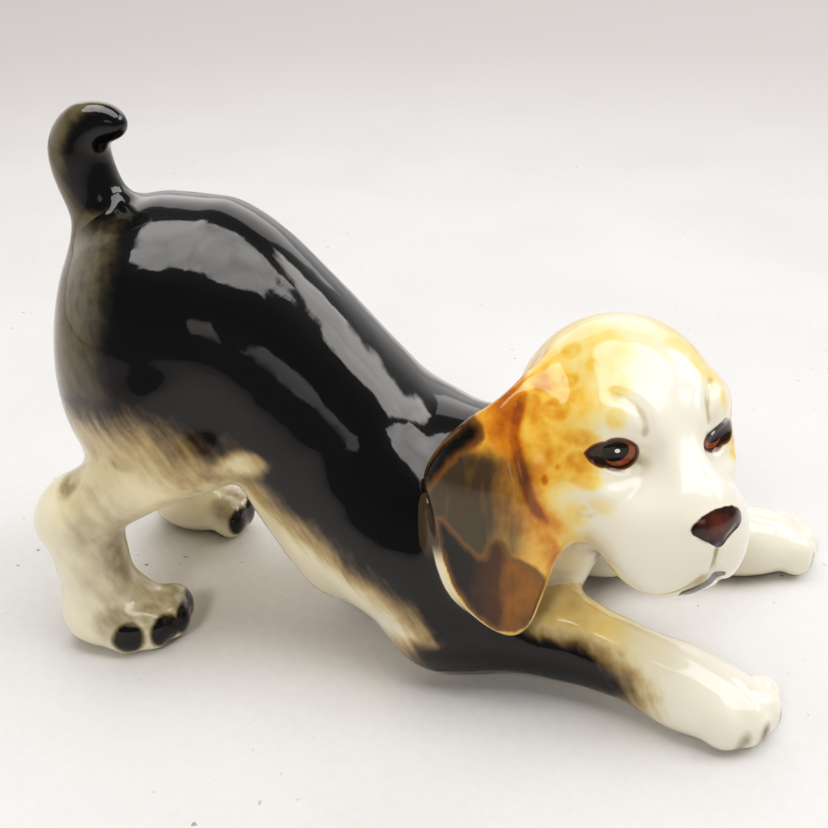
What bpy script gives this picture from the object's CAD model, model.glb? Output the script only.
"""Glazed ceramic puppy figurine in a play bow: looks, camera and light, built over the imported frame.

The figurine is sculpted here as one distance field in millimetres. Each piece of the record is cut
from that field along hidden joints, so neighbours share one glazed surface, and is meshed on its own.
"""

import bpy
import numpy as np
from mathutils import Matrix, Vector


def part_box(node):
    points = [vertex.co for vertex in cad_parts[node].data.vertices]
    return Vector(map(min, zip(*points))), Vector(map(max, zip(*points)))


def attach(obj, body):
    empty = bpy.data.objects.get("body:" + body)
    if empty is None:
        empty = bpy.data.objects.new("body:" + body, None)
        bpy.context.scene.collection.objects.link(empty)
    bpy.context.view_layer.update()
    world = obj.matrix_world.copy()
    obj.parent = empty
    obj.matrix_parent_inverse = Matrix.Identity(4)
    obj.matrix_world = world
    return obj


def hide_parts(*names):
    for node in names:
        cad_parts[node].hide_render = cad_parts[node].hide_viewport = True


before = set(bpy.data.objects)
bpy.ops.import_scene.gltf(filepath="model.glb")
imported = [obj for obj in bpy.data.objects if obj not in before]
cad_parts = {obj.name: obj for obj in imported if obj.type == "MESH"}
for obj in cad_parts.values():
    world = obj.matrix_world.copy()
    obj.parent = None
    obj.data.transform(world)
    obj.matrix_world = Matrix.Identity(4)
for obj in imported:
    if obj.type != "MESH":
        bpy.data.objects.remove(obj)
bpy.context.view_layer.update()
MM = 0.001          # metres

# --- clay: signed distance shapes, all in millimetres ---


def unit(vector):
    vector = np.asarray(vector, float)
    return vector / np.linalg.norm(vector)


def soft_min(a, b, blend):
    """Union of two distance fields with a fillet about blend wide."""
    h = np.maximum(blend - np.abs(a - b), 0.0) / blend
    return np.minimum(a, b) - h * h * blend * 0.25


def ball(centre, radii, axes=np.eye(3)):
    """Ellipsoid with its half axes along the rows of axes."""
    centre, radii, axes = np.asarray(centre, float), np.asarray(radii, float), np.asarray(axes, float)
    reach = np.sqrt(((axes * radii[:, None]) ** 2).sum(0))

    def distance(x, y, z):
        inner, outer = 0.0, 0.0
        for axis, radius in zip(axes, radii):
            q = ((x - centre[0]) * axis[0] + (y - centre[1]) * axis[1] + (z - centre[2]) * axis[2]) / radius
            inner = inner + q * q
            outer = outer + (q / radius) ** 2
        inner, outer = np.sqrt(inner), np.sqrt(outer)
        return inner * (inner - 1.0) / np.maximum(outer, 1e-6)

    return centre - reach, centre + reach, distance


def bone(start, start_radius, end, end_radius):
    """Round-ended tapered run from start to end."""
    return path([start, end], [start_radius, end_radius], 0.01)


def nearest_on_span(a, b, x, y, z):
    """How far along the span from a to b the nearest point lies, from 0 to 1, and how far away it is."""
    ab = b - a
    t = ((x - a[0]) * ab[0] + (y - a[1]) * ab[1] + (z - a[2]) * ab[2]) / max(ab @ ab, 1e-9)
    t = np.clip(t, 0.0, 1.0)
    return t, np.sqrt((x - a[0] - t * ab[0]) ** 2 + (y - a[1] - t * ab[1]) ** 2 + (z - a[2] - t * ab[2]) ** 2)


def nearest_on(points, x, y, z):
    """Distance to a polyline, and how far along it the nearest point lies, from 0 to 1."""
    best, along = None, None
    spans = len(points) - 1
    for i in range(spans):
        t, r = nearest_on_span(points[i], points[i + 1], x, y, z)
        s = (i + t) / spans
        if best is None:
            best, along = r, s
        else:
            along = np.where(r < best, s, along)
            best = np.minimum(best, r)
    return best, along


def path(points, radii, blend=2.0):
    """Chain of tapered runs through points."""
    points = np.asarray(points, float)
    radii = np.asarray(radii, float)

    def distance(x, y, z):
        total = None
        for i in range(len(points) - 1):
            t, r = nearest_on_span(points[i], points[i + 1], x, y, z)
            d = r - (radii[i] + t * (radii[i + 1] - radii[i]))
            total = d if total is None else soft_min(total, d, blend)
        return total

    return (points - radii[:, None]).min(0), (points + radii[:, None]).max(0), distance


def smoothed(points, steps):
    """Catmull-Rom curve through all but the first and the last point, without its end."""
    out = []
    for i in range(len(points) - 3):
        p0, p1, p2, p3 = points[i : i + 4]
        for t in np.linspace(0, 1, steps, endpoint=False):
            bend = (2 * p0 - 5 * p1 + 4 * p2 - p3) * t**2
            out.append(0.5 * (2 * p1 + (p2 - p0) * t + bend + (3 * p1 - p0 - 3 * p2 + p3) * t**3))
    return out


def curve(points, steps=5):
    """Smooth curve through points, as a finer polyline."""
    points = np.asarray(points, float)
    padded = np.vstack([2 * points[0] - points[1], points, 2 * points[-1] - points[-2]])
    return np.array(smoothed(padded, steps) + [points[-1]])


def closed_curve(points, steps=6):
    """Smooth closed outline through points."""
    points = np.asarray(points, float)
    return np.array(smoothed(np.vstack([points[-1], points, points[:2]]), steps))


def tube(stations):
    """Body as upright ellipses at (Y, top, bottom, half width), rump first."""
    table = np.array(sorted(stations))
    ys = table[:, 0]
    fine = np.linspace(ys[0], ys[-1], 400)
    columns = [smooth_through(ys, table[:, i], fine) for i in (1, 2, 3)]
    widest = table[:, 3].max()
    # the sides slope along Y, so the field is scaled to stay near true distance
    steepness = 0.8

    def distance(x, y, z):
        yc = np.clip(y, ys[0], ys[-1])
        top, bottom, half = (np.interp(yc, fine, c) for c in columns)
        middle, tall = (top + bottom) / 2, np.maximum((top - bottom) / 2, 0.5)
        half = np.maximum(half, 0.5)
        q0 = np.sqrt((x / half) ** 2 + ((z - middle) / tall) ** 2)
        q1 = np.sqrt((x / half**2) ** 2 + ((z - middle) / tall**2) ** 2)
        d = q0 * (q0 - 1.0) / np.maximum(q1, 1e-6)
        past = y - yc
        return np.where(past == 0, d * steepness, np.sqrt(np.maximum(d, 0) ** 2 + past**2))

    low = np.array([-widest, ys[0], table[:, 2].min()])
    high = np.array([widest, ys[-1], table[:, 1].max()])
    return low, high, distance


def smooth_through(xs, values, at):
    """Monotone cubic through (xs, values), evaluated at points."""
    h = np.diff(xs)
    slopes = np.diff(values) / h
    before, after = slopes[:-1], slopes[1:]
    m = np.empty_like(values)
    m[1:-1] = np.where(before * after > 0, 2 * before * after / (before + after + 1e-12), 0)
    m[0], m[-1] = slopes[0], slopes[-1]
    i = np.clip(np.searchsorted(xs, at) - 1, 0, len(h) - 1)
    t = (at - xs[i]) / h[i]
    return ((2 * t**3 - 3 * t**2 + 1) * values[i] + (t**3 - 2 * t**2 + t) * h[i] * m[i]
            + (-2 * t**3 + 3 * t**2) * values[i + 1] + (t**3 - t**2) * h[i] * m[i + 1])


def line_distance(points, a, b):
    """Distance in the plane to an open line."""
    return nearest_on(np.pad(np.array(points, float), ((0, 0), (0, 1))), a, b, 0.0)[0]


def outline_distance(outline, a, b):
    """Signed distance in the plane to a closed outline, negative inside."""
    inside = np.zeros(np.broadcast(a, b).shape, bool)
    for (a0, b0), (a1, b1) in zip(outline, np.roll(outline, -1, axis=0)):
        rise = b1 - b0 or 1e-9
        inside ^= ((b0 > b) != (b1 > b)) & (a < (b - b0) * (a1 - a0) / rise + a0)
    return np.where(inside, -1, 1) * line_distance(np.vstack([outline, outline[:1]]), a, b)


def flap(outline, bulge, thickness, place=lambda x, y, z: (x, y, z), low=None, high=None):
    """Sheet over the Y-Z plane: an outline, a height bulge(y, z) along X, and a rounded edge.

    place takes world coordinates to the sheet's own, so that a mirrored sheet can reuse them.
    """
    edge = closed_curve(outline)
    pad, step = 14.0, 0.5
    ys = np.arange(edge[:, 0].min() - pad, edge[:, 0].max() + pad, step)
    zs = np.arange(edge[:, 1].min() - pad, edge[:, 1].max() + pad, step)
    table = outline_distance(edge, ys[:, None], zs[None, :])

    def distance(x, y, z):
        x, y, z = place(x, y, z)
        x, y, z = np.broadcast_arrays(x, y, z)
        qy = np.clip((y - ys[0]) / step, 0, len(ys) - 1.001)
        qz = np.clip((z - zs[0]) / step, 0, len(zs) - 1.001)
        i, j = qy.astype(int), qz.astype(int)
        fy, fz = qy - i, qz - j
        plan = ((table[i, j] * (1 - fy) + table[i + 1, j] * fy) * (1 - fz)
                + (table[i, j + 1] * (1 - fy) + table[i + 1, j + 1] * fy) * fz)
        height = bulge(y, z)
        slope_y = (bulge(y + step, z) - height) / step
        slope_z = (bulge(y, z + step) - height) / step
        lean = np.sqrt(1 + slope_y**2 + slope_z**2)
        off = (x - height) / lean
        return np.sqrt(np.maximum(plan + thickness, 0) ** 2 + off**2) - thickness

    return np.asarray(low, float), np.asarray(high, float), distance


# --- grid: sampling the shapes ---
WIDEST_BLEND = 14.0
OUTSIDE = 50.0      # distance given to points that no shape has reached


class Grid:
    """Distance field sampled on a box."""

    def __init__(self, low, high, step):
        self.low = np.floor(np.asarray(low, float) / step) * step
        self.step = step
        self.shape = tuple(int(n) for n in np.ceil((np.asarray(high) - self.low) / step) + 1)
        self.axes = [self.low[i] + step * np.arange(self.shape[i]) for i in range(3)]
        self.field = np.full(self.shape, OUTSIDE, np.float32)

    def window(self, low, high, margin):
        """Slices and open coordinates of the part of the grid that a shape reaches."""
        cut, open_axes = [], []
        for i in range(3):
            a = int(np.clip(np.floor((low[i] - margin - self.low[i]) / self.step), 0, self.shape[i]))
            b = int(np.clip(np.ceil((high[i] + margin - self.low[i]) / self.step) + 1, 0, self.shape[i]))
            if b <= a:
                return None, None
            cut.append(slice(a, b))
            view = [None] * 3
            view[i] = slice(None)
            open_axes.append(self.axes[i][a:b].astype(np.float32)[tuple(view)])
        return tuple(cut), open_axes

    def at(self, points, field=None):
        """Trilinear values at points."""
        field = self.field if field is None else field
        q = (points - self.low) / self.step
        i = np.clip(np.floor(q).astype(int), 0, np.array(self.shape) - 2)
        t = q - i
        total = 0.0
        for corner in np.ndindex(2, 2, 2):
            x, y, z = [t[:, k] if far else 1 - t[:, k] for k, far in enumerate(corner)]
            total = total + x * y * z * field[tuple((i + corner).T)]
        return total

    def slope(self, points, field=None, h=None):
        """Slope of the field at points, from values h either side."""
        h = self.step * 0.75 if h is None else h
        out = np.empty((len(points), 3))
        for k in range(3):
            e = np.zeros(3)
            e[k] = h
            out[:, k] = (self.at(points + e, field) - self.at(points - e, field)) / (2 * h)
        return out


def fill(grid, clay, strokes=()):
    """Apply the clay in order; returns each part's own distance."""
    owners = {}
    for part, mode, blend, (low, high, distance) in clay:
        margin = WIDEST_BLEND + 4 if blend >= 7 or part == "torso" else blend + 5
        cut, axes = grid.window(low, high, margin)
        if cut is None:
            continue
        d = distance(*axes).astype(np.float32)
        now = grid.field[cut]
        grid.field[cut] = soft_min(now, d, blend) if mode == "add" else -soft_min(-now, d, blend)
        if part:
            if part not in owners:
                owners[part] = np.full(grid.shape, OUTSIDE, np.float32)
            owners[part][cut] = np.minimum(owners[part][cut], d)
    for points, width, height in strokes:
        pts = np.asarray(points)
        cut, axes = grid.window(pts.min(0), pts.max(0), 3 * width)
        if cut is None:
            continue
        r, s = nearest_on(pts, *axes)
        # full height over most of the line, fading out at both ends
        taper = np.clip(4 * s * (1 - s) * 1.8, 0, 1)
        grid.field[cut] -= (height * taper * np.exp(-((r / width) ** 2))).astype(np.float32)
    return owners


# --- dog: the shapes, in the body's frame ---
# The body from rump to chest: Y, top, bottom, half width.
BODY_STATIONS = [
    (88.0, 84.0, 70.0, 2.0),
    (86.4, 90.0, 63.0, 11.0),
    (83.0, 95.0, 58.0, 17.5),
    (75.0, 101.5, 52.0, 24.0),
    (63.0, 105.0, 48.0, 28.0),
    (50.0, 104.6, 44.5, 28.0),
    (43.5, 102.4, 36.5, 27.8),
    (37.0, 98.5, 22.5, 27.5),
    (24.0, 86.5, 4.5, 27.5),
    (10.0, 71.5, 1.5, 27.0),
    (-3.0, 59.0, 1.8, 26.0),
    (-15.0, 54.0, 3.0, 23.5),
    (-25.0, 52.0, 6.0, 19.5),
    (-34.0, 45.0, 10.5, 14.0),
    (-39.5, 37.0, 16.0, 8.0),
    (-42.0, 30.0, 23.0, 2.0),
]
HEAD = np.array([-5.0, -44.0, 61.0])
YAW, PITCH, ROLL = np.radians([55.0, 5.0, 2.0])
FWD = np.array([-np.sin(YAW) * np.cos(PITCH), -np.cos(YAW) * np.cos(PITCH), np.sin(PITCH)])
LEFT = np.array([np.cos(YAW), -np.sin(YAW), 0.0])
UP = np.cross(FWD, LEFT)
LEFT, UP = np.cos(ROLL) * LEFT - np.sin(ROLL) * UP, np.cos(ROLL) * UP + np.sin(ROLL) * LEFT
HEAD_AXES = np.array([LEFT, FWD, UP])


def head_at(left, forward, up):
    """Point in the body's frame from head coordinates."""
    return HEAD + LEFT * left + FWD * forward + UP * up


EAR_OUTLINE = [
    (-26, 77.5), (-17, 72), (-11, 67.5), (-6.8, 63), (-4.3, 58.5), (-3.9, 55), (-5.9, 48.5), (-9, 36.5),
    (-12.5, 28.5), (-19, 22.5), (-25.3, 20.3), (-29, 23), (-31, 29), (-33.5, 38), (-36, 44), (-38, 58),
    (-34, 71),
]


def ear_bulge(y, z):
    """X of the right ear's middle surface: leaning in over the skull, wrapped at both edges."""
    x = -32.2 + np.maximum(z - 50, 0) ** 2 * (21 / 31**2) - np.maximum(50 - z, 0) ** 2 * 0.0012
    return x + np.maximum(y + 22, 0) ** 2 * (4 / 20**2) + np.maximum(-22 - y, 0) ** 2 * (6 / 13**2)


LEFT_EAR_OUTLINE = [
    (-6, 11), (-1, 9), (3, 3), (4.5, -6), (3.5, -18), (0, -28), (-6, -33), (-12, -32), (-16, -25),
    (-19, -13), (-20, -2), (-17.5, 6), (-12, 10),
]


def in_head(x, y, z):
    """World to head coordinates: left, forward, up."""
    dx, dy, dz = x - HEAD[0], y - HEAD[1], z - HEAD[2]
    return tuple(dx * axis[0] + dy * axis[1] + dz * axis[2] for axis in HEAD_AXES)


def left_ear_bulge(forward, up):
    """How far left of the head's middle plane the left ear's middle surface lies."""
    out = 24.6 - np.maximum(up, 0) ** 2 * 0.021 + np.minimum(up, 0) ** 2 * 0.0015
    return out - np.maximum(-6 - forward, 0) ** 2 * 0.03 - np.maximum(forward, 0) ** 2 * 0.05


EAR_THICKNESS = 1.9     # on each side of the middle surface
HIND_TOES = [(33.0, 68.4), (30.2, 62.9), (25.0, 60.0), (19.6, 61.0)]
# Each foreleg: the wrist, the middle of the forearm, and the toes, for the left side of the body.
FORELEGS = {
    "left": ((33.5, -73.0, 9.5), (23.5, -42.0, 11.5),
             [(45.3, -87.5), (43.0, -92.0), (38.3, -93.8), (33.2, -92.3)]),
    "right": ((27.0, -60.0, 9.5), (19.5, -36.0, 11.5),
              [(37.3, -72.8), (35.3, -77.6), (30.8, -80.6), (25.8, -80.6)]),
}
TAIL_LINE = [
    (0, 77, 92), (0, 78, 101), (0, 80.6, 109), (0, 81.4, 115), (0, 79.0, 119.5), (0, 74.8, 121.0),
    (0, 71.8, 120.6),
]
TAIL_RADII = [7.0, 6.3, 6.3, 6.1, 5.0, 3.6, 2.3]
SIDES = ((1, "left"), (-1, "right"))


def level_axes(direction):
    """Half axes of a foot that points along a level direction: across it, along it, up."""
    return np.array([np.array([-direction[1], direction[0], 0]), direction, [0, 0, 1]])


def make_hind_leg(add, s, leg):
    """Haunch, thigh, shank, metatarsus, hock, foot and toes."""
    haunch_axes = np.array([[1, 0, 0], [0, 0.92, 0.38], [0, -0.38, 0.92]])
    add(leg, 13.0, ball((s * 15, 63.6, 66), (15.5, 19, 26), haunch_axes))
    add(leg, 7.0, bone((s * 20, 58, 62), 13.5, (s * 23.5, 50, 54), 9.0))
    add(leg, 6.0, bone((s * 24, 51, 53), 8.5, (s * 26, 78.5, 36), 8.5))
    add(leg, 5.0, bone((s * 26, 79.8, 33.5), 9.0, (s * 26.5, 77.2, 12), 8.8))
    add(leg, 4.0, ball((s * 26, 85.0, 31.5), (6.5, 6.0, 6.5)))
    foot_axes = level_axes(unit([-0.30 * s, -0.95, 0]))
    add(leg, 6.0, ball((s * 26.5, 73.0, 6.5), (10.0, 13.0, 8.0), foot_axes))
    for left, toe_y in HIND_TOES:
        add(leg, 3.2, ball((s * left, toe_y, 5.6), (4.0, 4.6, 5.6)))


def make_foreleg(add, s, leg, wrist, mid, toes):
    """Shoulder, upper arm, forearm, paw and toes."""
    wrist, mid = wrist * np.array([s, 1, 1]), mid * np.array([s, 1, 1])
    add(leg, 12.0, ball((s * 14, 4, 34), (14.5, 16, 18)))
    add(leg, 12.0, bone((s * 17, 0, 30), 13.0, (s * 20, -8, 14), 11.5))
    add(leg, 8.0, path([(s * 20, -8, 12.5), mid, wrist], [11.0, 9.8, 8.3], 3.0))
    out = unit((wrist - mid) * [1, 1, 0])
    paw = wrist + out * 8.0
    paw[2] = 7.5
    add(leg, 6.0, ball(paw, (10.0, 13.5, 8.6), level_axes(out)))
    for left, toe_y in toes:
        add(leg, 2.6, ball((s * left, toe_y, 6.2), (3.7, 4.6, 5.8)))


def make_head(add, carve):
    """Neck, nape, skull, muzzle, jowls, cheeks, bridge, eye sockets, jaw, nose, brows and eyeballs."""

    def lump(blend, place, radii):
        add("head", blend, ball(head_at(*place), radii, HEAD_AXES))

    add("head", 10.0, bone((0, -10, 35), 17.0, HEAD + (1, 5, -9), 16.0))
    lump(12.0, (0, -8, -16), (15, 15, 14))
    lump(8.0, (0, -1.5, 0), (23.2, 24.3, 24.5))
    add("head", 10.0, bone(head_at(0, 8, -10), 15.5, head_at(0, 20, -13), 11.0))
    for s in (1, -1):
        lump(7.0, (s * 6.0, 21.8, -13.5), (9.0, 12.3, 10.5))
        lump(6.0, (s * 5.6, 24.0, -18.5), (7.6, 10.8, 9.4))
        lump(8.0, (s * 10.4, 9.6, -6.0), (9.4, 10.0, 11.5))
    lump(5.0, (0, 27.8, -13.7), (9.5, 8.6, 8.5))
    add("head", 8.0, bone(head_at(0, 12, 0), 9.5, head_at(0, 28.7, -6.7), 7.0))
    for s in (1, -1):
        carve(6.0, ball(head_at(s * 12.6, 24.5, 1.7), (6.0, 7.0, 4.7), HEAD_AXES))
    add("head", 3.0, bone(head_at(0, 14, -20), 8.5, head_at(0, 28.2, -22.0), 5.0))
    lump(1.5, (0, 34.4, -8.1), (6.8, 3.4, 4.0))
    for s in (1, -1):
        brow = [head_at(s * 5.5, 17.5, 8), head_at(s * 10.5, 15.5, 9.5), head_at(s * 16, 11.0, 8.0)]
        add("head", 6.0, path(brow, [2.5, 3.2, 2.6]))
        lump(2.0, (s * 7.2, 10.1, 2.7), (6.6, 6.6, 6.3))


def make_shapes():
    """Every shape in the order it is applied, as (part, mode, blend, shape)."""
    clay = []

    def add(part, blend, shape):
        clay.append((part, "add", blend, shape))

    def carve(blend, shape):
        clay.append((None, "carve", blend, shape))

    add("torso", 1.0, tube(BODY_STATIONS))
    for s, name in SIDES:
        make_hind_leg(add, s, "hind_leg_" + name)
    for s, name in SIDES:
        make_foreleg(add, s, "foreleg_" + name, *FORELEGS[name])
    tail = curve(TAIL_LINE, 3)
    radii = np.interp(np.linspace(0, 1, len(tail)), [0, 0.17, 0.33, 0.5, 0.67, 0.83, 1], TAIL_RADII)
    add("tail", 5.0, path(tail, radii, 2.0))
    make_head(add, carve)
    right_ear = flap(EAR_OUTLINE, ear_bulge, EAR_THICKNESS, low=(-37, -39, 14), high=(-4, 0, 88))
    add("ear_right", 6.0, right_ear)
    corners = [head_at(left, forward, up) for left in (14, 28) for forward in (-20, 10) for up in (-36, 20)]
    low, high = np.min(corners, 0), np.max(corners, 0)
    add("ear_left", 4.0, flap(LEFT_EAR_OUTLINE, left_ear_bulge, EAR_THICKNESS, in_head, low, high))
    return clay


def drape(grid, points, steps=4):
    """A finer curve through points, pulled onto the surface."""
    line = curve(points, steps)
    for _ in range(6):
        slope = grid.slope(line)
        line = line - slope * (grid.at(line) / np.maximum((slope**2).sum(1), 0.05))[:, None]
    return line


def both_sides(points):
    """A line given for the head's right side (negative left), and its mirror image."""
    return [[head_at(s * left, forward, up) for left, forward, up in points] for s in (-1, 1)]


# Grooves (negative) and ridges on the face: points in head coordinates, width, height.
FACE_LINES = [
    ([(13.5, 13.5, 13.5), (10.9, 16.7, 14.4), (8.6, 19.8, 12.6), (7.8, 21.4, 9.2), (8.5, 21.2, 5.0)],
     1.5, -1.05),
    ([(22.0, 14.5, -6.5), (18.0, 19.4, -10.1), (14.9, 22.2, -9.3), (11.5, 22.9, -6.7), (9.0, 22.5, -3.6)],
     1.9, -0.32),
    ([(20.0, 16.5, -3.5), (16.0, 20.0, -5.5), (12.5, 21.5, -4.8), (9.5, 21.5, -2.0)], 1.6, 0.34),
    ([(17.8, 14.2, 1.6), (15.0, 16.9, 5.0), (11.6, 19.3, 6.6), (8.2, 20.7, 5.0)], 0.8, 0.55),
    ([(17.8, 14.2, 1.4), (15.0, 17.2, -1.6), (11.4, 19.6, -2.2), (8.2, 20.7, 0.2)], 0.8, 0.5),
    ([(0.4, 36.4, -18.4), (2.6, 35.6, -21.2), (6.0, 33.0, -24.2), (9.0, 28.0, -26.5), (11.0, 21.0, -26.5)],
     0.9, -1.2),
]
EAR_LINES = [
    ([(26.3, 3.4, 12.2), (30.0, 6.2, 6.1), (29.1, 12.4, -7.6), (24.0, 13.4, -17.6)], 1.5, -1.3),
    ([(27.5, -3.0, 12.0), (32.0, 0.5, 4.0), (32.5, 7.0, -9.0), (30.0, 10.0, -20.0)], 1.1, -0.6),
    ([(26.0, -7.0, 14.0), (31.0, -5.0, 6.0), (34.0, 2.0, -6.0)], 1.4, -0.45),
]


def make_strokes(grid):
    """Every groove and ridge, pulled onto the surface, with its width and height."""
    strokes = []
    for points, width, height in FACE_LINES:
        for side in both_sides(points):
            strokes.append((drape(grid, side), width, height))
    for points, width, height in EAR_LINES:
        strokes.append((drape(grid, both_sides(points)[0]), width, height))
    for s in (-1, 1):
        nostril = [head_at(s * 1.6, 37.8, -10.8), head_at(s * 3.2, 37.5, -10.1), head_at(s * 4.9, 36.4, -8.5)]
        strokes.append((drape(grid, nostril), 0.7, -0.8))
    middle = [head_at(0, 37.4, -11.6), head_at(0, 37.0, -14.5), head_at(0, 36.4, -18.8)]
    strokes.append((drape(grid, middle), 0.8, -1.0))
    return strokes


# --- meshing: one closed mesh per piece ---
# Each piece: the low and high corners of its grid, and the grid's step.
PARTS = {
    "torso": ((-38, -46, -1), (38, 92, 108), 0.8),
    "head": ((-46, -88, 10), (30, 14, 90), 0.5),
    "ear_right": ((-42, -46, 12), (-2, 4, 88), 0.5),
    "ear_left": ((-12, -86, 18), (32, -42, 84), 0.55),
    "foreleg_left": ((2, -104, -1), (52, 26, 50), 0.6),
    "foreleg_right": ((-48, -88, -1), (-2, 26, 50), 0.55),
    "hind_leg_left": ((2, 32, -1), (44, 98, 92), 0.65),
    "hind_leg_right": ((-44, 32, -1), (-2, 98, 92), 0.6),
    "tail": ((-13, 62, 78), (13, 94, 130), 0.5),
}
JOINT_DIP = 0.5
JOINT_OVERLAP = 1.5


def blurred(field, passes):
    """Field smoothed by passes of a 1-2-1 kernel along each axis."""
    for _ in range(passes):
        for axis in range(3):
            f = np.moveaxis(field, axis, 0)
            g = f.copy()
            g[1:-1] = 0.25 * f[:-2] + 0.5 * f[1:-1] + 0.25 * f[2:]
            field = np.moveaxis(g, 0, axis)
    return field


def surface_net(grid, field):
    """Quad mesh of field = 0: one vertex per crossed cell, one quad per crossed edge."""
    ny, nz = field.shape[1:]
    inside = field < 0
    cells, points, quads_of = [], [], []
    for axis in range(3):
        a = np.moveaxis(inside, axis, 0)
        crossed = np.moveaxis(a[:-1] != a[1:], 0, axis)
        i = np.argwhere(crossed)
        u, v = [(1, 2), (2, 0), (0, 1)][axis]
        i = i[(i[:, u] > 0) & (i[:, v] > 0) & (i[:, u] < field.shape[u] - 1) & (i[:, v] < field.shape[v] - 1)]
        j = i.copy()
        j[:, axis] += 1
        f0, f1 = field[tuple(i.T)], field[tuple(j.T)]
        place = i.astype(float)
        place[:, axis] += f0 / (f0 - f1)
        ring = []
        for du, dv in ((0, 0), (1, 0), (1, 1), (0, 1)):
            c = i.copy()
            c[:, u] -= du
            c[:, v] -= dv
            ring.append((c[:, 0] * ny + c[:, 1]) * nz + c[:, 2])
        ring = np.stack(ring, 1)
        ring[f0 > 0] = ring[f0 > 0][:, ::-1]
        quads_of.append(ring)
        for k in range(4):
            cells.append(ring[:, k])
            points.append(place)
    ids, back = np.unique(np.concatenate(cells), return_inverse=True)
    points = np.concatenate(points)
    count = np.bincount(back, minlength=len(ids))
    verts = np.stack([np.bincount(back, points[:, k], len(ids)) / count for k in range(3)], 1)
    quads = np.searchsorted(ids, np.concatenate(quads_of))
    return verts * grid.step + grid.low, quads


def settle(grid, field, verts):
    """Vertices moved onto the surface along its slope."""
    for _ in range(3):
        slope = grid.slope(verts, field)
        step = grid.at(verts, field) / np.maximum((slope**2).sum(1), 0.1)
        verts = verts - slope * np.clip(step, -grid.step, grid.step)[:, None]
    return verts


def sculpt(name, clay, coarse):
    """Vertices, quads, outward normals and hollow depth of one piece, in the body's frame."""
    low, high, step = PARTS[name]
    grid = Grid(low, high, step * (1.6 if coarse else 1.0))
    owners = fill(grid, clay)
    grid.field = blurred(grid.field, 2)
    fill(grid, [], make_strokes(grid))
    grid.field = blurred(grid.field, 1)
    grid.field = np.maximum(grid.field, -grid.axes[2][None, None, :].astype(np.float32))
    mine = owners[name]
    others = np.full(grid.shape, OUTSIDE, np.float32)
    for part, distance in owners.items():
        if part != name:
            others = np.minimum(others, distance)
    # past a joint the piece dips under its neighbour's skin and ends there, out of sight
    past = (mine - others) / 2
    field = np.maximum(grid.field + JOINT_DIP * np.maximum(past, 0), past - JOINT_OVERLAP)
    field[[0, -1]] = field[:, [0, -1]] = field[:, :, [0, -1]] = 5.0
    verts, quads = surface_net(grid, field)
    verts = settle(grid, field, verts)
    verts[:, 2] = np.where(verts[:, 2] < 0.08, 0.0, verts[:, 2])
    skin = grid.slope(verts, h=grid.step)
    own = grid.slope(verts, field, h=grid.step)
    hidden = np.clip((grid.at(verts, past) - 0.9) / 0.4, 0, 1)[:, None]
    normals = skin * (1 - hidden) + own * hidden
    normals /= np.maximum(np.linalg.norm(normals, axis=1, keepdims=True), 1e-6)
    hollow = grid.at(verts, blurred(grid.field, 10)) - grid.at(verts, grid.field)
    return verts, quads, normals, -hollow / grid.step


def put(name, data):
    """New object in the scene."""
    thing = bpy.data.objects.new(name, data)
    bpy.context.scene.collection.objects.link(thing)
    return thing


def mesh_object(name, verts, quads, normals, layers, material):
    """Blender mesh from body-frame millimetres, with its normals and painted layers."""
    mesh = bpy.data.meshes.new(name)
    mesh.vertices.add(len(verts))
    mesh.vertices.foreach_set("co", (verts * MM + SHIFT).astype(np.float32).ravel())
    mesh.loops.add(quads.size)
    mesh.loops.foreach_set("vertex_index", quads.astype(np.int32).ravel())
    mesh.polygons.add(len(quads))
    mesh.polygons.foreach_set("loop_start", np.arange(0, quads.size, 4, dtype=np.int32))
    mesh.update(calc_edges=True)
    mesh.validate()
    mesh.shade_smooth()
    mesh.normals_split_custom_set_from_vertices(normals.astype(np.float32))
    for key, values in layers.items():
        kind = "FLOAT" if values.ndim == 1 else "FLOAT_VECTOR"
        layer = mesh.attributes.new(key, kind, "POINT")
        layer.data.foreach_set("value" if kind == "FLOAT" else "vector", values.astype(np.float32).ravel())
    mesh.materials.append(material)
    return put(name, mesh)


# --- paint: what each vertex carries into the materials ---
# The black coat seen from the side, as (Y, Z).
BLACK_SIDE = [
    (104, 134), (104, 68), (90, 64), (80, 66), (68, 67), (58, 68), (50, 64), (44, 61), (39, 57), (34, 51),
    (25, 42), (15, 35.5), (5, 30), (-3, 24.5), (-8, 17.5), (-14, 8.5), (-20, 3), (-27, 8), (-25, 22),
    (-24, 34), (-27, 45), (-34, 54), (-40, 62), (-40, 134),
]
# The fold where the right ear leaves the head: heights, and Y at each.
FOLD_HEIGHTS = [34.0, 44.7, 54.5, 67.6, 75.0]
FOLD_DEPTHS = [-38.0, -33.2, -27.8, -22.5, -23.5]
RIGHT_EAR_BACK = [(-3.6, 55.0), (-6.4, 60.0), (-10, 64.2), (-13.5, 67)]
RIGHT_EAR_TIP = [
    (-7.5, 48), (-12, 45.7), (-15.2, 42.3), (-18.4, 40.6), (-19.3, 44.6), (-21.6, 45.6), (-24, 42.0),
    (-27, 39.8), (-30, 37), (-31.5, 33), (-29.5, 26.5), (-25.5, 23), (-20, 23.6), (-13.5, 29.5), (-9.4, 38),
]
LEFT_EAR_BACK = [(-19, 0), (-16, 6), (-10, 10)]
UNPAINTED = 30.0        # distance given where a patch or the coat is nowhere near
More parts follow.
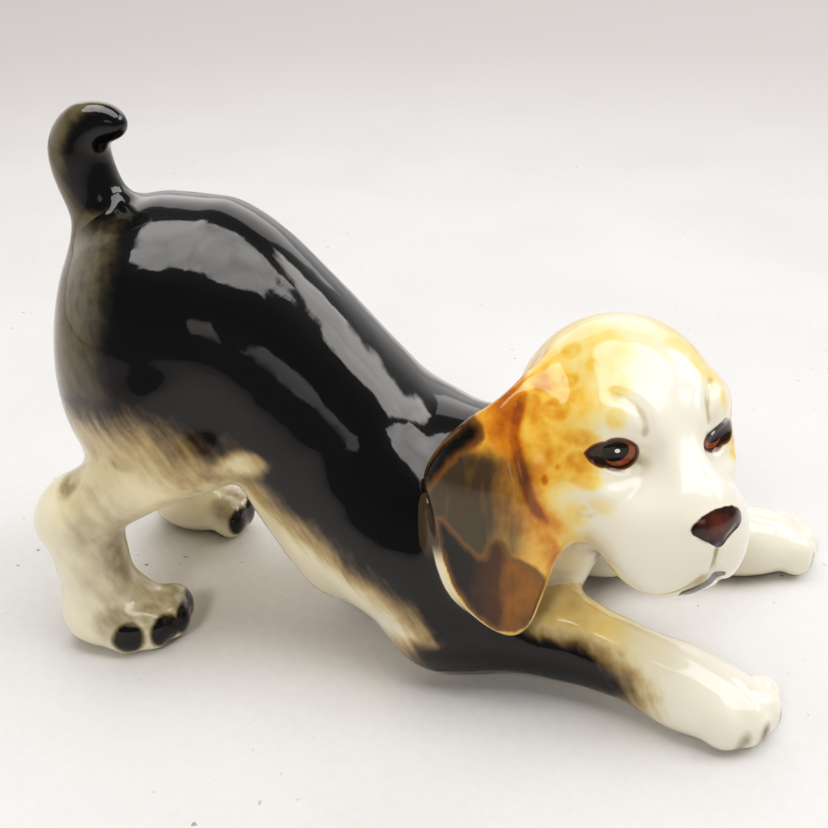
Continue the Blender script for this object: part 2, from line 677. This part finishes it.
# Claws of the hind feet as (X, Y) on the left, and of the two forepaws where they lie.
HIND_CLAWS = [(34.6, 67.6), (30.9, 59.8), (25.0, 56.4), (18.8, 57.4)]
FORE_CLAWS = [
    (-38.5, -76.0), (-36.5, -81.0), (-31.0, -84.5), (-26.0, -84.5),
    (47.0, -91.5), (44.5, -96.5), (38.5, -98.5), (33.0, -96.5),
]
PAW_TOPS = [(-33.5, -76.5), (40.5, -91.0)]
# Airbrushed spots on the left side: centre, radii, strength. The right side has the same.
HIND_LEG_SPOTS = [
    ((28.0, 64.0, 14.0), (13, 12, 7), 0.48), ((30.5, 68.5, 23.0), (10, 10, 18), 0.55),
    ((34.5, 71.0, 40.0), (10, 16, 7), 0.40), ((30.0, 79.5, 46.5), (9, 6, 10), 0.60),
    ((33.0, 65.0, 53.0), (7, 7.5, 3.6), 0.92), ((35.0, 64.0, 56.0), (14, 26, 14), 0.40),
    ((33.0, 48.0, 58.0), (9, 15, 7), 0.50), ((35.5, 78.0, 30.0), (9, 10, 22), 0.26),
    ((34.0, 70.0, 30.0), (18, 18, 44), 0.45),
]
# The same on the face, with the centres in head coordinates.
FACE_SPOTS = [
    ((20.0, 14.5, 5.5), (8.0, 8.0, 4.5), 0.52), ((19.5, 15.5, 0.5), (6.0, 7.5, 6.5), 0.50),
    ((19.0, 16.5, -3.0), (5.5, 6.5, 3.4), 0.46), ((21.5, 8.5, 10.0), (6.5, 8.0, 5.0), 0.56),
    ((17.5, 6.0, 15.0), (6.0, 5.0, 3.6), 0.54), ((12.9, 7.4, 18.3), (5.6, 4.0, 3.2), 0.40),
    ((14.2, 0.4, 19.5), (6.5, 6.0, 4.0), 0.48), ((22.0, 3.0, 14.0), (6.0, 8.0, 6.0), 0.55),
    ((26.0, 12.8, -3.2), (1.6, 1.8, 2.9), 0.62), ((23.6, 13.5, -0.2), (1.5, 1.8, 3.2), 0.58),
    ((13.6, 20.4, -23.1), (5.5, 4.0, 2.8), 0.36), ((13.6, 18.6, 10.8), (4.5, 4.5, 5.0), 0.30),
    ((17.5, 20.5, -8.0), (6.5, 6.0, 3.4), 0.22), ((20.0, 15.0, -11.5), (7.0, 6.0, 7.0), 0.30),
    ((20.5, 12.5, -18.5), (4.5, 4.5, 7.5), 0.36), ((20.5, 13.0, -22.5), (4.0, 5.0, 4.0), 0.34),
]
LIPS = [(-2.6, 33.2, -25.0), (0.4, 34.6, -23.2), (3.0, 35.2, -21.2)]


def dist(verts, centre, radii=(1, 1, 1)):
    """Distance from a centre, in radii."""
    return np.sqrt((((verts - centre) / np.asarray(radii)) ** 2).sum(1))


def fade(x, start, end):
    """Smooth 0 to 1 as x goes from start to end."""
    t = np.clip((x - start) / (end - start), 0, 1)
    return t * t * (3 - 2 * t)


def blob(verts, centre, radii):
    """Airbrushed spot: 1 at its centre, 0 beyond its radii."""
    return 1 - fade(dist(verts, np.asarray(centre, float), radii), 0.25, 1.0)


def in_pairs(spots):
    """Spots of the left side, and the same on the right."""
    return [((s * x, y, z), radii, strength) for s in (1, -1) for (x, y, z), radii, strength in spots]


def spotted(amount, verts, spots):
    """An amount raised where airbrushed spots are stronger."""
    for centre, radii, strength in spots:
        amount = np.maximum(amount, strength * blob(verts, centre, radii))
    return amount


def coat_distance(name, verts):
    """How far outside the black coat each vertex lies, negative within it."""
    x, y, z = verts.T
    coat = outline_distance(closed_curve(BLACK_SIDE, 3), y, z)
    coat = coat * np.where(coat > 0, 1.4 - 0.75 * fade(y, 36, 50), 1)
    for s in (1, -1):
        coat = coat + 9 * blob(verts, (s * 27.6, 36.5, 53.5), (9, 9.0, 5.0))
    # the coat stops at the head, and has a patch of its own on each forearm
    coat = np.maximum(coat, (28.0 - dist(verts, HEAD + FWD)) * 4.0)
    forearm = dist(np.stack([np.abs(x), y, z], 1), np.array([34.0, -26.0, 8.5]), (12.0, 23.0, 8.8))
    coat = np.where(y < 6, np.minimum(np.where(y < -18, coat * 3, coat), (forearm - 1) * 26.0), coat)
    return coat - 8 if name == "tail" else coat


def thin_coat(name, verts, normals):
    """Where the black is brushed thin and olive shows: the back of the rump and of the tail."""
    z = verts[:, 2]
    if name == "tail":
        return fade(normals[:, 1] + 0.4 * normals[:, 2], -0.3, 0.6) * fade(z, 90, 98)
    return fade(normals[:, 1], -0.15, 0.75) * fade(z, 55, 72)


def dark_shading(verts, hollow):
    """Brown wash in the hollows, on the legs and on the chest, up to black on the claws of the feet."""
    claws = []
    for x, y in HIND_CLAWS:
        claws.append(((x, y - 0.5, 6.2), (5.6, 5.8, 6.0), 2.2))
        claws.append(((x, y + 2, 10.0), (7.5, 11.0, 9.0), 0.60))
    shade = spotted(fade(hollow, 0.10, 0.5) * 0.8, verts, in_pairs(claws + HIND_LEG_SPOTS))
    shade = spotted(shade, verts, [((*claw, 5.5), (2.8, 3.8, 5.0), 0.9) for claw in FORE_CLAWS])
    shade = spotted(shade, verts, [((*paw, 11.0), (9, 7, 6), 0.30) for paw in PAW_TOPS])
    return spotted(shade, verts, [((0, -31.0, 22.0), (16, 9, 12), 0.55)])


def paint_foreleg(verts, normals, layers):
    """Tan wash along the top of the forearm."""
    y = verts[:, 1]
    top = fade(normals[:, 2] - 0.35 * np.abs(normals[:, 0]), -0.3, 0.5)
    top = top * (1 - fade(-y, 42, 64)) * fade(-y, 4, 16)
    layers["tan"] = 0.27 * top
    layers["shade"] = np.maximum(layers["shade"], 0.34 * top * (1 - fade(-y, 36, 52)))


def mask_tint(side, forward, up):
    """The tan mask over the crown, temples, cheeks and back of the head."""
    crown = fade(up, 10, 17) * fade(-forward, -19, -8)
    return np.maximum.reduce([
        0.20 * crown + 0.12 * crown * fade(side, 2, 8),
        0.30 * fade(side, 4, 10) * fade(up, -14, 4) * (1 - fade(forward, 14, 21)),
        0.44 * fade(side, 10.5, 17.5) * fade(up, -15, -3) * (1 - fade(forward, 12, 20)),
        0.50 * fade(side, 17, 25) * fade(up, -20, -7) * (1 - fade(forward, 11, 19)),
        0.46 * fade(-forward, 0, 14) * fade(up, -22, -8),
        0.27 * fade(side, 8, 15) * fade(up, -30, -18) * (1 - fade(forward, 12, 22)),
    ])


def paint_right_ear(y, z, behind, coat, tint, layers):
    """Brown ear with a smoky middle, a dark tip, a dark back edge and a pale rim."""
    plan = outline_distance(closed_curve(EAR_OUTLINE, 3), y, z)
    rim = 0.75 * fade(plan, -0.9, -0.3) * (1 - fade(z, 56, 66)) * fade(z, 15, 24)
    rim = rim * (1 - fade(z, 28, 36) * fade(-y, 20, 26))
    patch = outline_distance(closed_curve(RIGHT_EAR_TIP, 3), y, z)
    patch = np.minimum(patch, line_distance(RIGHT_EAR_BACK, y, z) - 2.0)
    layers["amber"] = np.clip((-y - 11) / 15, 0, 1) * (1 - fade(z, 48, 54))
    depth = np.interp(-y, [10, 17, 21, 26, 31], [1.0, 0.95, 0.66, 0.50, 0.0])
    layers["smoke"] = depth * fade(z, 34, 44) * (1 - fade(z, 61, 68))
    layers["black"] = UNPAINTED + (coat - UNPAINTED) * fade(plan, 0.6, 2.2)
    middle = 0.44 + 0.16 * fade(z, 58, 68) + 0.12 * (1 - fade(behind, 2, 8))
    return np.maximum(tint, middle * fade(behind, -3, 1)), patch, rim


def paint_left_ear(forward, up, tint, layers):
    """Tan ear with a dark lower patch and a dark back edge."""
    plan = outline_distance(closed_curve(LEFT_EAR_OUTLINE, 3), forward, up)
    rim = fade(plan, -1.3, -0.5) * (1 - fade(up, -6, 4))
    tip = (np.sqrt(((forward + 8.0) / 9.0) ** 2 + ((up + 20.0) / 11.0) ** 2) - 1) * 9
    patch = np.minimum(tip, line_distance(LEFT_EAR_BACK, forward, up) - 3)
    layers["amber"] = fade(forward, -11, -4)
    layers["smoke"] = 0.6 * (1 - fade(forward, -18, -6)) * fade(up, -14, -4)
    return np.maximum(tint, 0.48 + 0.12 * fade(up, -14, 2)), patch, rim


def paint_head(name, verts, coat, layers):
    """Tan mask and ear patches, and where the eyes, nose and mouth are."""
    x, y, z = verts.T
    left, forward, up = in_head(x, y, z)
    side = np.abs(left)
    spots = [(head_at(*centre), radii, strength) for centre, radii, strength in in_pairs(FACE_SPOTS)]
    tint = spotted(mask_tint(side, forward, up), verts, spots)
    behind = y - np.interp(z, FOLD_HEIGHTS, FOLD_DEPTHS)
    if name in ("ear_right", "head"):
        near = (left < 0) * fade(-x, 17, 23) * fade(z, 36, 50)
        glow = 0.80 * (1 - fade(np.abs(behind), 0.4, 3.6)) * fade(z, 42, 52)
        tint = np.maximum(tint, near * np.maximum(glow, 0.56 * fade(behind, -9, -1)))
    patch, rim = np.full(x.shape, UNPAINTED), np.zeros(x.shape)
    if name == "ear_right":
        tint, patch, rim = paint_right_ear(y, z, behind, coat, tint, layers)
    elif name == "ear_left":
        tint, patch, rim = paint_left_ear(forward, up, tint, layers)
    layers["tan"] = tint * (1 - rim)
    layers["ear_patch"] = patch + 4 * rim
    lips = np.array([head_at(*point) for point in LIPS])
    layers["mouth"] = 1 - fade(nearest_on(lips, x, y, z)[0], 1.4, 2.6)
    facing = np.radians(EYE_OUTWARD)
    out = np.sin(facing), np.cos(facing)
    across = -(side - EYE_PLACE[0]) * out[1] + (forward - EYE_PLACE[1]) * out[0]
    depth = (side - EYE_PLACE[0]) * out[0] + (forward - EYE_PLACE[1]) * out[1]
    layers["eye"] = np.stack([across, up - EYE_PLACE[2], depth], 1)
    layers["nose"] = np.stack([left, up, forward], 1)
    chin = 0.55 * blob(verts, head_at(-1.0, 34, -20.5), (7, 8, 6.5))
    layers["shade"] = np.maximum(layers["shade"] * 0.8, chin)


def paint(name, verts, normals, hollow):
    """Painted layers of a piece: distances in millimetres and amounts from 0 to 1."""
    coat = coat_distance(name, verts)
    layers = {"black": coat, "thin": thin_coat(name, verts, normals), "shade": dark_shading(verts, hollow)}
    if name.startswith("ear"):
        layers["black"] = np.full(coat.shape, UNPAINTED)
    if name == "head" or name.startswith("ear"):
        paint_head(name, verts, coat, layers)
    elif name.startswith("foreleg"):
        paint_foreleg(verts, normals, layers)
    else:
        layers["tan"] = 0.10 + 0.06 * fade(verts[:, 2], 20, 45)
    return layers


# --- materials ---
class Num:
    """A number in a node tree, with arithmetic that adds Math nodes."""

    def __init__(self, tree, socket):
        self.tree, self.socket = tree, socket

    def op(self, kind, *others):
        node = self.tree.nodes.new("ShaderNodeMath")
        node.operation = kind
        for slot, value in zip(node.inputs, (self,) + others):
            if isinstance(value, Num):
                self.tree.links.new(value.socket, slot)
            else:
                slot.default_value = value
        return Num(self.tree, node.outputs[0])

    def __add__(self, o):
        return self.op("ADD", o)

    def __sub__(self, o):
        return self.op("SUBTRACT", o)

    def __mul__(self, o):
        return self.op("MULTIPLY", o)

    def over(self, o):
        return self.op("DIVIDE", o)

    def hypot(self, o):
        return (self * self + o * o).op("SQRT")

    def ramp(self, start, end, low=0.0, high=1.0):
        """Smooth step from low to high as this goes from start to end."""
        node = self.tree.nodes.new("ShaderNodeMapRange")
        node.interpolation_type = "SMOOTHSTEP"
        self.tree.links.new(self.socket, node.inputs["Value"])
        for key, value in (("From Min", start), ("From Max", end), ("To Min", low), ("To Max", high)):
            node.inputs[key].default_value = value
        return Num(self.tree, node.outputs["Result"])


class Paint:
    """A material being built, with helpers for layers, noise and mixing."""

    def __init__(self, name):
        self.material = bpy.data.materials.new(name)
        self.material.use_nodes = True
        self.tree = self.material.node_tree
        self.shader = self.tree.nodes["Principled BSDF"]
        self.coords = self.tree.nodes.new("ShaderNodeTexCoord").outputs["Object"]

    def layer(self, name):
        node = self.tree.nodes.new("ShaderNodeAttribute")
        node.attribute_name = name
        return Num(self.tree, node.outputs["Fac"])

    def split(self, name):
        node = self.tree.nodes.new("ShaderNodeAttribute")
        node.attribute_name = name
        parts = self.tree.nodes.new("ShaderNodeSeparateXYZ")
        self.tree.links.new(node.outputs["Vector"], parts.inputs[0])
        return [Num(self.tree, out) for out in parts.outputs]

    def noise(self, size, detail=2.0, stretch=(1, 1, 1), turn=(0, 0, 0), offset=0.0):
        """Noise about 0, from roughly -1 to 1, with features about size millimetres across."""
        place = self.tree.nodes.new("ShaderNodeMapping")
        place.vector_type = "TEXTURE"
        self.tree.links.new(self.coords, place.inputs["Vector"])
        place.inputs["Location"].default_value = (offset, offset, offset)
        place.inputs["Rotation"].default_value = turn
        place.inputs["Scale"].default_value = [size * MM * s for s in stretch]
        node = self.tree.nodes.new("ShaderNodeTexNoise")
        node.inputs["Scale"].default_value = 1.0
        node.inputs["Detail"].default_value = detail
        self.tree.links.new(place.outputs[0], node.inputs["Vector"])
        return (Num(self.tree, node.outputs["Fac"]) - 0.5) * 2.4

    def mix(self, base, colour, amount):
        """base where amount is 0, colour where it is 1."""
        node = self.tree.nodes.new("ShaderNodeMix")
        node.data_type = "RGBA"
        for slot, value in ((node.inputs[6], base), (node.inputs[7], colour)):
            if isinstance(value, tuple):
                slot.default_value = value + (1.0,)
            else:
                self.tree.links.new(value, slot)
        self.tree.links.new(amount.socket, node.inputs[0])
        return node.outputs[2]

    def scale(self, stops, amount):
        """Colour ramp through (position, colour) stops."""
        node = self.tree.nodes.new("ShaderNodeValToRGB")
        ramp = node.color_ramp
        ramp.interpolation = "LINEAR"
        while len(ramp.elements) < len(stops):
            ramp.elements.new(0.5)
        for element, (position, colour) in zip(ramp.elements, stops):
            element.position, element.color = position, colour + (1.0,)
        self.tree.links.new(amount.socket, node.inputs[0])
        return node.outputs[0]


CREAM = (0.83, 0.78, 0.64)
BLACK = (0.006, 0.006, 0.006)
CLAW = (0.006, 0.005, 0.004)
OLIVE = (0.130, 0.108, 0.062)
BODY_SHADE = (0.150, 0.108, 0.048)
FACE_SHADE = (0.34, 0.27, 0.12)
SMOKE = (0.075, 0.055, 0.032)
PATCH_EDGE = (0.20, 0.095, 0.025)
LIP = (0.012, 0.010, 0.008)
LID_EDGE, LID = (0.14, 0.055, 0.020), (0.035, 0.016, 0.010)
IRIS, PUPIL, GLINT = (0.30, 0.085, 0.035), (0.006, 0.006, 0.007), (0.95, 0.95, 0.92)
NOSE_DARK, NOSE_PALE = (0.028, 0.010, 0.008), (0.14, 0.048, 0.030)
TAN_STOPS = [
    (0.0, CREAM), (0.14, (0.85, 0.77, 0.55)), (0.28, (0.86, 0.66, 0.26)), (0.45, (0.82, 0.47, 0.085)),
    (0.62, (0.60, 0.23, 0.020)), (0.78, (0.33, 0.095, 0.014)), (1.0, (0.10, 0.032, 0.012)),
]
COAT_STOPS = [
    (0.0, BLACK), (0.10, (0.010, 0.008, 0.006)), (0.20, (0.05, 0.035, 0.020)), (0.33, (0.19, 0.135, 0.065)),
    (0.50, (0.44, 0.33, 0.16)), (0.72, (0.64, 0.53, 0.31)), (1.0, (0.76, 0.69, 0.50)),
]
PATCH_STOPS = [
    (0.0, (0.010, 0.008, 0.006)), (0.28, (0.014, 0.009, 0.007)), (0.45, (0.052, 0.024, 0.011)),
    (0.72, (0.085, 0.032, 0.011)), (1.0, (0.30, 0.12, 0.014)),
]


def paint_eyes(p, colour):
    """Dark lids, brown iris, black pupil and a painted glint."""
    across, up, depth = p.split("eye")
    front = depth.ramp(-5.0, -4.6)
    round_part = (across - 0.7).hypot(up + 0.35) - 3.75
    corner = (up + 3.75).hypot(across + 0.9).op("MAXIMUM", (up - 2.75).hypot(across + 0.9)) - 6.1
    lid = round_part.op("MINIMUM", corner)
    colour = p.mix(colour, LID_EDGE, lid.ramp(0.55, 0.15) * front)
    colour = p.mix(colour, LID, lid.ramp(0.05, -0.25) * front)
    iris = (across - 0.95).hypot(up + 0.55) - 3.3
    colour = p.mix(colour, IRIS, iris.ramp(0.1, -0.15) * lid.ramp(-0.45, -0.6) * front)
    pupil = (across + 0.1).hypot(up - 0.1) - 2.8
    colour = p.mix(colour, PUPIL, pupil.ramp(0.15, -0.15) * lid.ramp(-0.3, -0.45) * front)
    spot = (across - 0.35).hypot(up + 0.3) - 0.55
    return p.mix(colour, GLINT, spot.ramp(0.08, -0.08) * front)


def paint_nose(p, colour, blotch, fine):
    """Mottled brown pad, narrower below."""
    left, high, forward = p.split("nose")
    width = (high + 8.2).ramp(-4.4, 0.6, 1.8, 6.5)
    tall = (high - left * 0.06 + 8.3).over(4.2)
    pad = (left - 0.4).op("ABSOLUTE").over(width).hypot(tall) - 1.0 + fine * 0.05
    leather = p.mix(NOSE_DARK, NOSE_PALE, (blotch - pad * 0.6).ramp(-0.1, 0.9))
    return p.mix(colour, leather, pad.ramp(0.05, -0.03) * forward.ramp(30.0, 31.5))


def paint_ears(p, colour, blotch, streak):
    """Smoky middles, and dark patches that are brown where they are thin."""
    smoke = (p.layer("smoke") * (streak * 0.35 + 1.0)).ramp(0.05, 0.95)
    colour = p.mix(colour, SMOKE, smoke)
    patch = p.layer("ear_patch") + blotch * 0.8 + streak * 0.7
    colour = p.mix(colour, PATCH_EDGE, patch.ramp(1.1, 0.0))
    deep = p.scale(PATCH_STOPS, p.layer("amber") + blotch * 0.22 + streak * 0.12)
    return p.mix(colour, deep, patch.ramp(0.5, -1.6))


def glaze(name, face=False):
    """Airbrushed colours under a clear glossy glaze."""
    p = Paint(name)
    blotch = p.noise(7.0, 3.0)
    fine = p.noise(1.6, 3.0, offset=0.3)
    if face:
        streak = p.noise(2.4, 2.0, (1.0, 1.0, 6.0))
    else:
        streak = p.noise(2.6, 2.0, (1.0, 1.0, 5.0), (-0.6, 0, 0))
    mottle = blotch * 0.17 + p.noise(3.2, 2.0, offset=0.4) * 0.11
    colour = p.scale(TAN_STOPS, p.layer("tan") + mottle * p.layer("tan").ramp(0.08, 0.5) + fine * 0.02)
    shade = p.layer("shade") * (blotch * 0.28 + streak * 0.30 + 1.0)
    colour = p.mix(colour, FACE_SHADE if face else BODY_SHADE, shade.ramp(0.08, 0.95))
    if not face:
        colour = p.mix(colour, CLAW, shade.ramp(0.85, 1.2))
    black = p.layer("black") + streak * 3.6 + blotch * 2.4 + fine * 0.5
    coat = p.scale(COAT_STOPS, (black + 3.0).over(19.0))
    colour = p.mix(colour, coat, black.ramp(16.0, 7.0))
    if face:
        colour = paint_ears(p, colour, blotch, streak)
        colour = p.mix(colour, LIP, p.layer("mouth").ramp(0.35, 0.8))
        colour = paint_nose(p, paint_eyes(p, colour), blotch, fine)
    else:
        thin = (p.layer("thin") * (streak * 0.5 + 1.0) + blotch * 0.10).ramp(0.15, 1.0)
        colour = p.mix(colour, p.mix(BLACK, OLIVE, thin), black.ramp(0.5, -2.0))
    tree, shader = p.tree, p.shader
    tree.links.new(colour, shader.inputs["Base Color"])
    ripple = tree.nodes.new("ShaderNodeBump")
    ripple.inputs["Strength"].default_value = 0.10 if face else 0.22
    ripple.inputs["Distance"].default_value = 0.0004
    tree.links.new((p.noise(9.0, 1.0, offset=0.7) + fine * 0.05).socket, ripple.inputs["Height"])
    tree.links.new(ripple.outputs[0], shader.inputs["Coat Normal"])
    finish = {"Roughness": 0.32, "Specular IOR Level": 0.1, "Coat Weight": 1.0, "Coat IOR": 1.56}
    for key, value in finish.items():
        shader.inputs[key].default_value = value
    shader.inputs["Coat Roughness"].default_value = 0.09 if face else 0.035
    return p.material


def floor_material():
    """Pale speckled stone, darker further out."""
    p = Paint("pale_stone")
    cloud = p.noise(90.0, 4.0)
    grain = p.noise(2.5, 3.0)
    mottle = (cloud * 0.6 + grain * 0.25 + 0.5).ramp(0.0, 1.0)
    colour = p.mix((0.62, 0.61, 0.605), (0.71, 0.70, 0.695), mottle)
    speck = p.noise(1.9, 0.0, offset=0.9).ramp(0.76, 0.86) * p.noise(60.0, 2.0, offset=0.5).ramp(-0.1, 0.4)
    colour = p.mix(colour, (0.20, 0.19, 0.18), speck * 0.8)
    parts = p.tree.nodes.new("ShaderNodeSeparateXYZ")
    p.tree.links.new(p.coords, parts.inputs[0])
    far = Num(p.tree, parts.outputs[0]).hypot(Num(p.tree, parts.outputs[1]))
    colour = p.mix(colour, (0.46, 0.435, 0.432), far.ramp(0.10, 0.80))
    p.tree.links.new(colour, p.shader.inputs["Base Color"])
    p.shader.inputs["Roughness"].default_value = 0.6
    return p.material


# --- the pieces ---
EYE_PLACE = (11.9, 17.0, 3.0)
EYE_OUTWARD = 35.0
RUMP_END = 86.5
torso_low, torso_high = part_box("torso")
SHIFT = np.array([(torso_low.x + torso_high.x) / 2, torso_high.y - RUMP_END * MM, 0.0])
SLOTS = {"torso": "black_coat_glaze", "tail": "black_coat_glaze", "head": "tan_head_glaze",
         "ear_left": "tan_head_glaze", "ear_right": "tan_head_glaze"}

materials = {
    "black_coat_glaze": glaze("black_coat_glaze"),
    "cream_limb_glaze": glaze("cream_limb_glaze"),
    "tan_head_glaze": glaze("tan_head_glaze", face=True),
}
clay = make_shapes()
for name in PARTS:
    slot = SLOTS.get(name, "cream_limb_glaze")
    verts, quads, normals, hollow = sculpt(name, clay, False)
    layers = paint(name, verts, normals, hollow)
    piece = mesh_object("glazed_" + name, verts, quads, normals, layers, materials[slot])
    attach(piece, "root")
    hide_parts(name)

# --- floor ---
FLOOR_RADIUS = 3.0
rings, spokes = 24, 96
radius = FLOOR_RADIUS * (np.arange(1, rings + 1) / rings) ** 1.5
angle = np.linspace(0, 2 * np.pi, spokes, endpoint=False)
floor_verts = [(0.0, 0.0, 0.0)]
for r in radius:
    floor_verts += [(r * np.cos(a), r * np.sin(a), 0.0) for a in angle]
floor_faces = [(0, 1 + i, 1 + (i + 1) % spokes) for i in range(spokes)]
for k in range(rings - 1):
    a, b = 1 + k * spokes, 1 + (k + 1) * spokes
    floor_faces += [(a + i, b + i, b + (i + 1) % spokes, a + (i + 1) % spokes) for i in range(spokes)]
floor_mesh = bpy.data.meshes.new("floor")
floor_mesh.from_pydata(floor_verts, [], floor_faces)
floor_mesh.materials.append(floor_material())
floor = put("floor", floor_mesh)

# --- light ---
world = bpy.data.worlds.new("studio")
world.use_nodes = True
sky = world.node_tree
background = sky.nodes["Background"]
background.inputs["Color"].default_value = (0.96, 0.95, 0.95, 1.0)
axes = sky.nodes.new("ShaderNodeSeparateXYZ")
sky.links.new(sky.nodes.new("ShaderNodeTexCoord").outputs["Generated"], axes.inputs[0])
east, north, height = [Num(sky, out) for out in axes.outputs]
# a pale wall all round, brightest behind the figurine, under a dim ceiling
wall = height.ramp(0.62, 0.20) * (east * 0.8 + north * 0.6).ramp(-0.5, 0.7, 0.10, 1.0)
sky.links.new((wall * 0.64 + 0.13).socket, background.inputs["Strength"])
bpy.context.scene.world = world
aim = Vector(SHIFT) + Vector((0.0, 0.0, 0.05))


def softbox(name, place, width, height, power, turn=None, ragged=0.0, colour=(1.0, 0.97, 0.94)):
    """Area light facing the figurine, its rim faded and, if ragged, broken up as by trees outside."""
    lamp = bpy.data.lights.new(name, "AREA")
    lamp.shape = "RECTANGLE"
    lamp.size, lamp.size_y = width, height
    lamp.energy = power
    lamp.color = colour
    lamp.use_nodes = True
    tree = lamp.node_tree
    across = tree.nodes.new("ShaderNodeNewGeometry").outputs["Parametric"]
    split = tree.nodes.new("ShaderNodeSeparateXYZ")
    tree.links.new(across, split.inputs[0])
    u, v = [Num(tree, split.outputs[i]) for i in (0, 1)]
    rim_u = (u - 0.5).op("ABSOLUTE") * -width + width / 2
    rim_v = (v - 0.5).op("ABSOLUTE") * -height + height / 2
    spread = tree.nodes.new("ShaderNodeMapping")
    spread.inputs["Scale"].default_value = (width * 1.6, height * 1.6, 1.0)
    tree.links.new(across, spread.inputs["Vector"])
    clouds = tree.nodes.new("ShaderNodeTexNoise")
    clouds.inputs["Detail"].default_value = 2.0
    clouds.inputs["Scale"].default_value = 1.0
    tree.links.new(spread.outputs[0], clouds.inputs["Vector"])
    cloud = (Num(tree, clouds.outputs["Fac"]) - 0.5) * 2.0
    inside = (rim_u.op("MINIMUM", rim_v) + cloud * ragged).ramp(0.02, 0.16)
    patchy = cloud * (0.5 if ragged else 0.0) + 1.0
    tree.links.new((inside * patchy).socket, tree.nodes["Emission"].inputs["Strength"])
    box = put(name, lamp)
    box.location = aim + Vector(place)
    box.rotation_euler = turn or Vector(place).to_track_quat("Z", "Y").to_euler()
    return box


def towards(azimuth, elevation, distance):
    """Place at an azimuth from +X towards +Y and an elevation, in degrees."""
    a, e = np.radians(azimuth), np.radians(elevation)
    return Vector((np.cos(a) * np.cos(e), np.sin(a) * np.cos(e), np.sin(e))) * distance


softbox("ceiling_window", (0.22, -0.60, 2.2), 1.9, 3.5, 73.0, turn=(0.0, 0.0, 0.0), ragged=0.30,
        colour=(1.0, 0.98, 0.955))
softbox("front_window", towards(-63, 33, 2.4), 1.9, 0.85, 20.0, ragged=0.15)
softbox("side_window", towards(-150, 23, 2.4), 0.9, 0.75, 2.2, ragged=0.30)
softbox("back_wall", towards(8, 30, 2.4), 3.0, 1.4, 14.0)
# a soft lamp beside the camera, which the glaze does not mirror
camera_side = softbox("camera_side", towards(168, 38, 1.7), 0.5, 0.5, 20.0)
camera_side.visible_glossy = False

# --- camera ---
CAMERA_PLACE = np.array([-245.3, -47.9, 188.8])
CAMERA_TURN, CAMERA_TILT = np.radians([12.0, 28.0])
FOCAL_PIXELS, IMAGE_PIXELS = 1200.0, 828.0
SENSOR_WIDTH = 36.0
level = np.cos(CAMERA_TILT)
look = Vector((np.cos(CAMERA_TURN) * level, np.sin(CAMERA_TURN) * level, -np.sin(CAMERA_TILT)))
camera_data = bpy.data.cameras.new("camera")
camera_data.sensor_width = SENSOR_WIDTH
camera_data.lens = SENSOR_WIDTH * FOCAL_PIXELS / IMAGE_PIXELS
camera_data.clip_start = 0.01
camera = put("camera", camera_data)
camera.location = Vector(CAMERA_PLACE * MM + SHIFT)
camera.rotation_euler = look.to_track_quat("-Z", "Y").to_euler()
bpy.context.scene.camera = camera
view = bpy.context.scene.view_settings
view.view_transform = "Standard"
view.use_curve_mapping = True
tone = view.curve_mapping.curves[3]
for x, y in ((0.04, 0.021), (0.10, 0.080), (0.20, 0.19), (0.55, 0.62), (0.85, 0.90)):
    tone.points.new(x, y)
view.curve_mapping.update()
